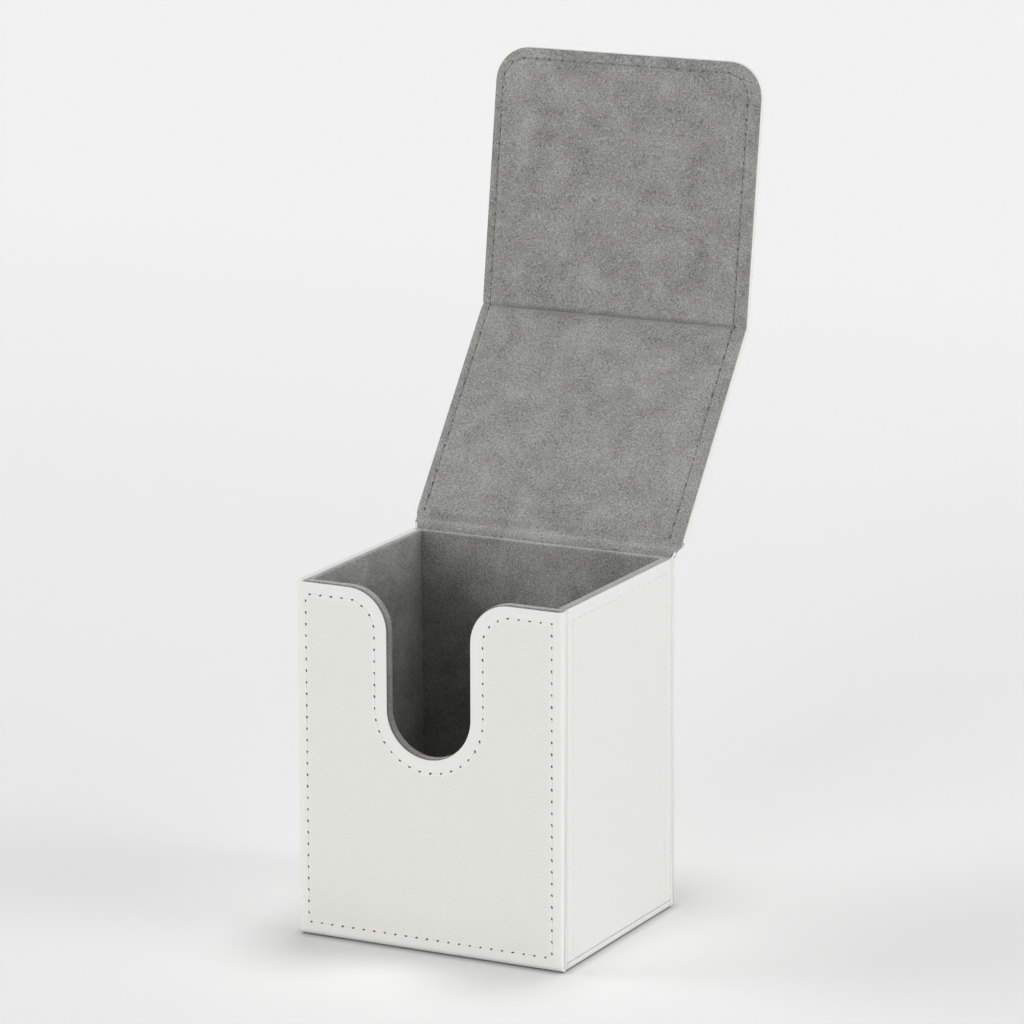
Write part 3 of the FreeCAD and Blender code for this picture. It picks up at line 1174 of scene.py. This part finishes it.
@dataclass
class Lid:
    """The lid with its closing flap, the fold between them and the hinge to the back wall."""

    box: BoxSizes
    sizes: LidSizes
    finishes: Finishes
    sewing: Sewing
    walls: Walls
    corner: float = 10.0 * MM
    cover_margin: float = 3.3 * MM
    lining_margin: float = 3.0 * MM
    lining_shift: float = -0.8 * MM
    lining_trim: float = 0.25 * MM
    edge_radius: float = 1.2 * MM
    crease_edge: float = 0.35
    hinge_crease: float = 0.3 * MM
    hinge_steps: int = 8
    hinge_lead: float = 0.8 * MM
    ridge: float = 1.3 * MM
    ridge_round: float = 0.55 * MM
    valley_depth: float = 0.7 * MM
    valley_width: float = 0.8 * MM
    quilt: float = 0.07 * MM
    quilt_pitch: float = 9.0 * MM
    lining_pitch: float = 3.9 * MM

    def fold_steps(self) -> list[tuple[float, float]]:
        """Places across the fold, as reach on the bench and share of the bend."""
        steps = []
        for i in range(-4, 5):
            share = (i / 4 + 1) / 2
            steps.append((self.sizes.fold + i / 4 * self.sizes.flex, share * share * (3 - 2 * share)))
        return steps

    def outline(self, name: str, trim: float, level: float, turn: tuple[float, float, float]) -> Piece:
        """Lays out lid and flap as one flat sheet that overruns the hinge.

        Args:
            name: name of the piece.
            trim: how far the edge is drawn in.
            level: height on the bench.
            turn: rotation of the sheet from lying face up.

        Returns:
            The sheet, with round corners at the flap's end.
        """
        s = self.sizes
        low = s.start - self.walls.overrun
        high = s.end - trim
        piece = Piece.sheet(
            name, (2 * (s.half_width - trim), high - low), Vector((0, (low + high) / 2, level)), turn
        )
        piece.pick(Element.VERTS, lambda p: p.y > high - TINY)
        piece.round_off(self.corner - trim, 12, corners=True)
        return piece

    def cut_steps(self, piece: Piece) -> None:
        """Trims the sheet at the hinge and cuts it across at each step of the fold."""
        across = Vector((0, 1, 0))
        piece.bisect(Vector((0, self.sizes.start, 0)), across, trim=True)
        for reach, _ in self.fold_steps():
            piece.bisect(Vector((0, reach, 0)), across)

    def bend_flap(self, piece: Piece) -> None:
        """Bends the flap up from the lid, from its end back through the fold, hiding what is done."""
        bpy.ops.object.select_all(action="DESELECT")
        piece.obj.select_set(True)
        bpy.context.view_layer.objects.active = piece.obj
        bpy.ops.object.mode_set(mode="EDIT")
        centre = Vector((0, self.sizes.fold, self.sizes.fold_level))
        steps = self.fold_steps()
        half_step = (steps[1][0] - steps[0][0]) / 2
        for reach, share in reversed(steps[1:]):
            limit = reach - half_step
            if piece.pick(Element.VERTS, lambda p: p.y > limit):
                piece.turn(self.sizes.bend * share, centre)
                bpy.ops.mesh.hide(unselected=False)
        bpy.ops.mesh.reveal(select=False)
        bpy.ops.object.mode_set(mode="OBJECT")

    def cover(self) -> None:
        """Outside of lid and flap: one leatherette sheet, turned round three edges and stitched."""
        s = self.sizes
        normal = Vector((0, 0, -1))
        piece = self.outline("lid_cover", 0.0, s.outside, (math.pi, 0, 0))
        piece.pick(Element.FACES, lambda p: True)
        line = piece.groove(self.cover_margin, self.walls.groove_half, self.walls.groove_depth)
        # Faces outside the stitch line take the border tone, partly a painted highlight.
        piece.paint(Finish.BORDER, selected=False)
        self.cut_steps(piece)
        piece.pick(Element.EDGES, lambda p: p.y > s.start + TINY, rim=True)
        piece.extrude(Vector((0, 0, s.lip - s.outside)))
        piece.pick(Element.EDGES, lambda p: p.z < s.outside + TINY, crease=0.6)
        piece.round_off(self.edge_radius, 5)
        piece.thicken(self.walls.cover_thickness(), self.walls.soft_edge, lambda p: p.y > s.start + TINY)
        line = clip_path(line, lambda p: p.y - s.start - self.sewing.pitch / 2)
        self.sewing.pierce(piece, line, False, normal, 34)
        row = self.sewing.row("lid_cover_stitching", line, False, normal, 21)
        self.finish(piece, self.finishes.leatherette(), Slot.LEATHERETTE, "lid_skin", "flap_hinge_skin", "flap_skin")
        self.finish(row, [self.finishes.white_thread], Slot.LEATHERETTE)

    def lining(self) -> None:
        """Inside of lid and flap: one suede sheet with a crease at the fold and a sunk row of grey thread."""
        s = self.sizes
        normal = Vector((0, 0, 1))
        piece = self.outline("lid_suede", self.lining_trim, s.inside, (0, 0, 0))
        piece.pick(Element.FACES, lambda p: True)
        line = piece.groove(
            self.lining_margin, 0.75 * MM, 0.25 * MM, ((lambda p: True, Vector((self.lining_shift, 0, 0))),)
        )
        self.cut_steps(piece)
        self.quilt_field(piece)
        self.crease_field(piece)
        piece.pick(Element.VERTS, lambda p: p.y < s.start + TINY)
        piece.slide(Vector((0, 0, -self.hinge_crease)))
        piece.thicken(s.lining * 0.85, 0.15 * MM, lambda p: p.y > s.start + TINY)
        line = clip_path(line, lambda p: p.y - s.start - self.lining_pitch / 4)
        sewing = Sewing(
            pitch=self.lining_pitch,
            gap=1.7 * MM,
            thread=0.45 * MM,
            sink=0.3 * MM,
            hole=0.58 * MM,
            hole_stretch=2.7,
            hole_depth=0.5 * MM,
            twist=0.12,
            uneven=0.4,
        )
        sewing.pierce(piece, line, False, normal, 35)
        row = sewing.row("lid_suede_stitching", line, False, normal, 22)
        self.finish(piece, self.finishes.lining(), Slot.SUEDE, "lid_lining", "flap_hinge_lining", "flap_lining")
        self.finish(row, [self.finishes.grey_thread], Slot.SUEDE)

    def crease_field(self, piece: Piece) -> None:
        """Sinks the lining along the fold, deepest in the middle and less at its two edges."""
        s = self.sizes
        field = s.half_width - self.lining_margin - 1.0 * MM
        for i, depth in enumerate(CREASE_PROFILE):
            offset = i * s.flex / 4
            for reach in sorted({s.fold - offset, s.fold + offset}):
                piece.bisect(Vector((0, reach, 0)), Vector((0, 1, 0)))
                for share, inside in ((1.0, True), (self.crease_edge, False)):
                    piece.pick(
                        Element.VERTS, lambda p: abs(p.y - reach) < TINY and (abs(p.x) < field) == inside
                    )
                    piece.slide(Vector((0, 0, -depth * share * MM)))

    def quilt_field(self, piece: Piece) -> None:
        """Cuts the lining into a field of patches and unsettles them a little, as glued cloth lies."""
        s = self.sizes
        piece.bisect(Vector((0, s.start + 0.8 * MM, 0)), Vector((0, 1, 0)))
        clear = s.flex + 2 * MM
        count = round((s.end - s.start) / self.quilt_pitch)
        for i in range(1, count):
            reach = s.start + (s.end - s.start) * i / count
            if abs(reach - s.fold) > clear:
                piece.bisect(Vector((0, reach, 0)), Vector((0, 1, 0)))
        across = round(2 * s.half_width / self.quilt_pitch)
        for i in range(1, across):
            x = s.half_width * (2 * i / across - 1)
            piece.bisect(Vector((x, 0, 0)), Vector((1, 0, 0)))
        field = s.half_width - self.lining_margin - 2.5 * MM
        piece.pick(
            Element.VERTS,
            lambda p: abs(p.x) < field
            and s.start + 3 * MM < p.y < s.end - self.lining_margin - 2.5 * MM
            and abs(p.y - s.fold) > clear,
        )
        bpy.ops.transform.vertex_random(offset=self.quilt, uniform=0.0, normal=1.0, seed=5)

    def finish(self, piece: Piece, materials: list[bpy.types.Material], slot: Slot, *nodes: str) -> None:
        """Bends a piece at the fold and brings it to the open lid.

        Args:
            piece: piece on the bench.
            materials: its materials.
            slot: material slot of the record.
            nodes: CAD nodes that it stands for.
        """
        s = self.sizes
        self.bend_flap(piece)
        piece.place(s.to_rest())
        piece.dress(materials, slot)
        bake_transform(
            piece.obj, "lid", "flap", start=s.lid_point(s.fold - s.flex, s.fold_level), end=s.flap_point(s.flex)
        )
        if nodes:
            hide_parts(*nodes)

    def draw_out(self, piece: Piece, points: list[Vector], narrow: float, wide: float, bend: float) -> None:
        """Draws the picked edge out along a line, widening and turning it evenly on the way.

        Args:
            piece: piece with the edge picked.
            points: line that the edge follows, from where it is.
            narrow: half width of the edge where it is.
            wide: half width at the end of the line.
            bend: angle about X that the edge turns by.
        """
        count = len(points) - 1
        widths = [narrow + (wide - narrow) * i / count for i in range(count + 1)]
        for i in range(1, count + 1):
            piece.extrude(points[i] - points[i - 1])
            share = widths[i] / widths[i - 1]
            bpy.ops.transform.resize(value=(share, 1, 1), center_override=points[i])
            if bend:
                piece.turn(bend / count, points[i])

    def hinge_line(self, start: Vector, rise: Vector, end: Vector, pull: float, count: int) -> list[Vector]:
        """Smooth line across the hinge.

        Args:
            start: point on the wall.
            rise: direction in which it leaves the wall, with its strength.
            end: point on the lid.
            pull: strength with which it runs into the lid.
            count: number of steps.

        Returns:
            Points from start to end.
        """
        along = (self.sizes.to_rest().to_3x3() @ Vector((0, 1, 0))) * pull
        points = []
        for i in range(count + 1):
            t = i / count
            points.append(
                start * (2 * t**3 - 3 * t**2 + 1)
                + rise * (t**3 - 2 * t**2 + t)
                + end * (3 * t**2 - 2 * t**3)
                + along * (t**3 - t**2)
            )
        return points

    def bend_at_hinge(self, piece: Piece) -> None:
        """Applies a piece's placement to its mesh, where it runs between back wall and lid."""
        s = self.sizes
        begin = s.lid_point(-self.hinge_lead, s.inside)
        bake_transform(piece.obj, "box", "lid", start=begin, end=s.lid_point(s.start, s.inside))

    def back_cover(self) -> None:
        """Back wall and hinge: one leatherette sheet, stitched on three edges, that runs up to the lid."""
        b = self.box
        s = self.sizes
        w = self.walls
        normal = Vector((0, 1, 0))
        high = b.height + w.overrun
        piece = Piece.sheet(
            "back_cover", (2 * b.half_width, high), Vector((0, b.back, high / 2)), (-QUARTER, 0, 0)
        )
        piece.pick(Element.FACES, lambda p: True)
        line = piece.groove(w.stitch_margin, w.groove_half, w.groove_depth)
        # Faces outside the stitch line take the border tone, partly a painted highlight.
        piece.paint(Finish.BORDER, selected=False)
        piece.bisect(Vector((0, 0, b.height)), Vector((0, 0, -1)), trim=True)
        w.turn_in(piece, 1)
        turned = b.back - w.edge_radius
        piece.pick(Element.EDGES, lambda p: p.z > b.height - TINY and p.y > turned - TINY, rim=True)
        start = Vector((0, b.back, b.height))
        end = s.lid_point(s.start, s.outside)
        points = self.hinge_line(start, Vector((0, 0, 4 * MM)), end, 4 * MM, self.hinge_steps)
        self.draw_out(piece, points, b.half_width, s.half_width, s.tilt - QUARTER)
        piece.thicken(w.cover_thickness(), w.soft_edge, lambda p: p.z < b.height + TINY)
        line = clip_path(line, lambda p: b.height - self.sewing.pitch / 2 - p.z)
        self.sewing.pierce(piece, line, False, normal, 36)
        piece.dress(self.finishes.leatherette(), Slot.LEATHERETTE)
        self.bend_at_hinge(piece)
        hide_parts("back_skin", "lid_hinge_skin")
        w.finish_row(self.sewing.row("back_stitching", line, False, normal, 14))

    def back_lining(self) -> None:
        """Back wall and hinge: one suede sheet, over the rim and up to the lid."""
        b = self.box
        s = self.sizes
        w = self.walls
        half = b.half_width - b.panel
        inner = b.back - b.wall
        top = b.height - w.rim_step
        piece = Piece.sheet(
            "back_suede", (2 * half, top - b.base_panel), Vector((0, inner, (top + b.base_panel) / 2)), (QUARTER, 0, 0)
        )
        piece.pick(Element.EDGES, lambda p: p.z > top - TINY)
        rim_end = inner + self.ridge
        piece.extrude(Vector((0, rim_end - inner, 0)))
        for sign in (-1, 1):
            piece.pick(Element.EDGES, lambda p: p.x * sign > half - TINY and p.z > top - TINY, rim=True)
            piece.extrude(Vector((sign * (b.panel - b.skin), 0, 0)))
        start = Vector((0, rim_end, top))
        valley = start + Vector((0, self.valley_width / 2, -self.valley_depth))
        foot = s.lid_point(0.4 * MM, s.inside)
        end = s.lid_point(s.start, s.inside - self.hinge_crease)
        points = self.hinge_line(start, Vector((0, self.ridge, 0)), valley, 0.0, 3)
        points += self.hinge_line(valley, Vector((0, self.valley_width / 2, 0)), foot, 2 * MM, 4)[1:]
        points += [s.lid_point(reach * MM, s.inside - valley_shade * MM) for reach, valley_shade in HINGE_PROFILE] + [end]
        piece.pick(Element.EDGES, lambda p: p.y > rim_end - TINY and p.z > top - TINY, rim=True)
        self.draw_out(piece, points, b.half_width - b.skin, s.half_width - self.lining_trim, 0.0)
        piece.pick(Element.EDGES, lambda p: p.y < inner + TINY and p.z > top - TINY, crease=0.6)
        piece.round_off(self.ridge_round, 5)
        piece.thicken(s.lining * 0.85, 0.15 * MM, lambda p: p.y < b.back)
        piece.dress(self.finishes.lining(), Slot.SUEDE)
        self.bend_at_hinge(piece)
        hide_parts("back_lining", "lid_hinge_lining")

    def build(self) -> None:
        """Makes the lid, the flap, the back wall and the hinge."""
        self.back_cover()
        self.back_lining()
        self.cover()
        self.lining()


# The studio


@dataclass
class Lamp:
    """One large far soft box, whose level is what it gives to a surface that faces it."""

    name: str
    azimuth: float
    elevation: float
    spread: float
    level: float


@dataclass
class Studio:
    """Camera at the photograph's angle, soft light and a pale floor."""

    azimuth: float = math.radians(27.04)
    elevation: float = math.radians(13.19)
    roll: float = math.radians(-0.14)
    target: Vector = Vector((7.98 * MM, -1.25 * MM, 114.44 * MM))
    distance: float = 1.4599
    lens: float = 193.36
    sensor: float = 36.0
    horizon: float = 0.515
    zenith: float = 0.0
    backdrop: float = 0.88
    floor_size: float = 14.0
    floor_colour: str = "EDEDED"
    # Floor tone near where the box touches, and how far it reaches: painted contact shade.
    contact_shade_colour: str = "8C8C8C"
    contact_shade: float = 0.003
    shade: float = 0.035
    near_glow: float = 0.1
    far_glow: float = 0.17
    near: float = 0.1
    far: float = 0.9
    lamps: tuple[Lamp, ...] = (
        Lamp("front", -4.0, 6.0, 30.0, 0.49),
        Lamp("left", -75.0, 35.0, 30.0, 0.215),
        Lamp("right", 97.0, 4.0, 20.0, 0.41),
        Lamp("right_high", 97.0, 34.0, 30.0, 0.135),
        Lamp("overhead", 172.0, 77.0, 20.0, 0.38),
    )

    def direction(self, azimuth: float, elevation: float) -> Vector:
        """Unit vector from the object towards a place round it."""
        return Vector(
            (
                math.sin(azimuth) * math.cos(elevation),
                -math.cos(azimuth) * math.cos(elevation),
                math.sin(elevation),
            )
        )

    def camera(self) -> None:
        """Sets the camera."""
        back = self.direction(self.azimuth, self.elevation)
        bpy.ops.object.camera_add()
        camera = bpy.context.object
        camera.name = "camera"
        turn = (-back).to_track_quat("-Z", "Y").to_matrix().to_4x4()
        camera.matrix_world = (
            Matrix.Translation(self.target + back * self.distance) @ turn @ Matrix.Rotation(self.roll, 4, "Z")
        )
        camera.data.lens = self.lens
        camera.data.sensor_width = self.sensor
        camera.data.clip_end = 50.0
        bpy.context.scene.camera = camera

    def light(self) -> None:
        """Hangs the soft boxes and sets the pale surroundings."""
        for lamp in self.lamps:
            back = self.direction(math.radians(lamp.azimuth), math.radians(lamp.elevation))
            bpy.ops.object.light_add(type="SUN")
            light = bpy.context.object
            light.name = lamp.name
            light.rotation_euler = (-back).to_track_quat("-Z", "Y").to_euler()
            light.data.angle = math.radians(lamp.spread)
            light.data.energy = math.pi * lamp.level
        world = bpy.data.worlds.new("studio")
        bpy.context.scene.world = world
        world.use_nodes = True
        tree = world.node_tree
        tree.nodes.clear()
        place = add_node(tree, "ShaderNodeTexCoord", {})
        height = add_node(tree, "ShaderNodeSeparateXYZ", {"Vector": place.outputs["Generated"]})
        sky = add_node(
            tree, "ShaderNodeMapRange", {"Value": height.outputs["Z"], "To Min": self.horizon, "To Max": self.zenith}
        )
        level = self.seen(tree, sky.outputs["Result"], self.backdrop)
        back = add_node(tree, "ShaderNodeBackground", {"Color": linear("FFFFFF"), "Strength": level})
        add_node(tree, "ShaderNodeOutputWorld", {"Surface": back.outputs["Background"]})

    def seen(
        self,
        tree: bpy.types.NodeTree,
        unseen: float | bpy.types.NodeSocket,
        shown: float | bpy.types.NodeSocket,
    ) -> bpy.types.NodeSocket:
        """Level that differs between what is looked at and what only gives light.

        Args:
            tree: node tree of the floor or of the surroundings.
            unseen: level for light.
            shown: level for the camera, mirrors and glass.

        Returns:
            The level.
        """
        path = add_node(tree, "ShaderNodeLightPath", {})
        share = path.outputs["Is Camera Ray"]
        for ray in ("Is Glossy Ray", "Is Transmission Ray"):
            share = add_node(tree, "ShaderNodeMath", {0: share, 1: path.outputs[ray]}, operation="MAXIMUM").outputs[0]
        level = add_node(tree, "ShaderNodeMapRange", {"Value": share, "To Min": unseen, "To Max": shown})
        return level.outputs["Result"]

    def floor(self) -> None:
        """Lays the pale floor, which keeps the object's shadow; its colour is painted darker where the box touches it,
        as painted contact shade, and its glow for camera, mirrors and glass grows brighter further back and is dimmed
        near the box, as painted shade.
        """
        bpy.ops.object.select_all(action="DESELECT")
        bpy.ops.mesh.primitive_plane_add(size=self.floor_size)
        floor = bpy.context.object
        floor.name = "floor"
        material, tree, shader, place = start_material("matt_studio_paper")
        # Painted contact shade: the floor's colour darkens towards the contact tone where the box is near.
        contact_shade = add_node(tree, "ShaderNodeAmbientOcclusion", {"Distance": self.contact_shade}, samples=8)
        colour = add_node(
            tree,
            "ShaderNodeMix",
            {"Factor": contact_shade.outputs["AO"], 6: linear(self.contact_shade_colour), 7: linear(self.floor_colour)},
            data_type="RGBA",
        )
        axes = add_node(tree, "ShaderNodeSeparateXYZ", {"Vector": place})
        depth = add_node(
            tree,
            "ShaderNodeMapRange",
            {
                "Value": axes.outputs["Y"],
                "From Min": self.near,
                "From Max": self.far,
                "To Min": self.near_glow,
                "To Max": self.far_glow,
            },
        )
        shade = add_node(tree, "ShaderNodeAmbientOcclusion", {"Distance": self.shade}, samples=8)
        glow = add_node(
            tree, "ShaderNodeMath", {0: depth.outputs["Result"], 1: shade.outputs["AO"]}, operation="MULTIPLY"
        )
        tree.links.new(colour.outputs[2], shader.inputs["Base Color"])
        tree.links.new(self.seen(tree, 0.0, glow.outputs[0]), shader.inputs["Emission Strength"])
        shader.inputs["Emission Color"].default_value = linear("FFFFFF")
        shader.inputs["Roughness"].default_value = 0.9
        shader.inputs["Specular IOR Level"].default_value = 0.1
        floor.data.materials.append(material)

    def build(self) -> None:
        """Sets up the studio."""
        bpy.context.scene.view_settings.view_transform = "Standard"
        self.camera()
        self.light()
        self.floor()


def dress_frame(frame: dict, finishes: Finishes) -> None:
    """Gives the CAD boards and magnets, which stay, their materials.

    Args:
        finishes: materials of the box.
    """
    for name, node in frame["nodes"].items():
        if name.endswith("_board"):
            material = finishes.greyboard
        elif name.endswith("_magnets"):
            material = finishes.nickel
        else:
            continue
        node.data.materials.clear()
        node.data.materials.append(material)
        LOG.info("%s: %s", name, material.name)


def main() -> None:
    """Builds the box around the frame."""
    logging.basicConfig(level=logging.INFO, format="%(name)s: %(message)s")
    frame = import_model()
    bpy.ops.object.select_all(action="DESELECT")
    finishes = Finishes()
    sewing = Sewing()
    box_sizes = BoxSizes.from_frame()
    lid_sizes = LidSizes.from_frame(frame)
    LOG.info("lid: %s", lid_sizes)
    dress_frame(frame, finishes)
    walls = Walls(box_sizes, finishes, sewing)
    walls.build()
    Lid(box_sizes, lid_sizes, finishes, sewing, walls).build()
    Studio().build()
    bpy.context.view_layer.update()


if __name__ == "__main__":
    main()
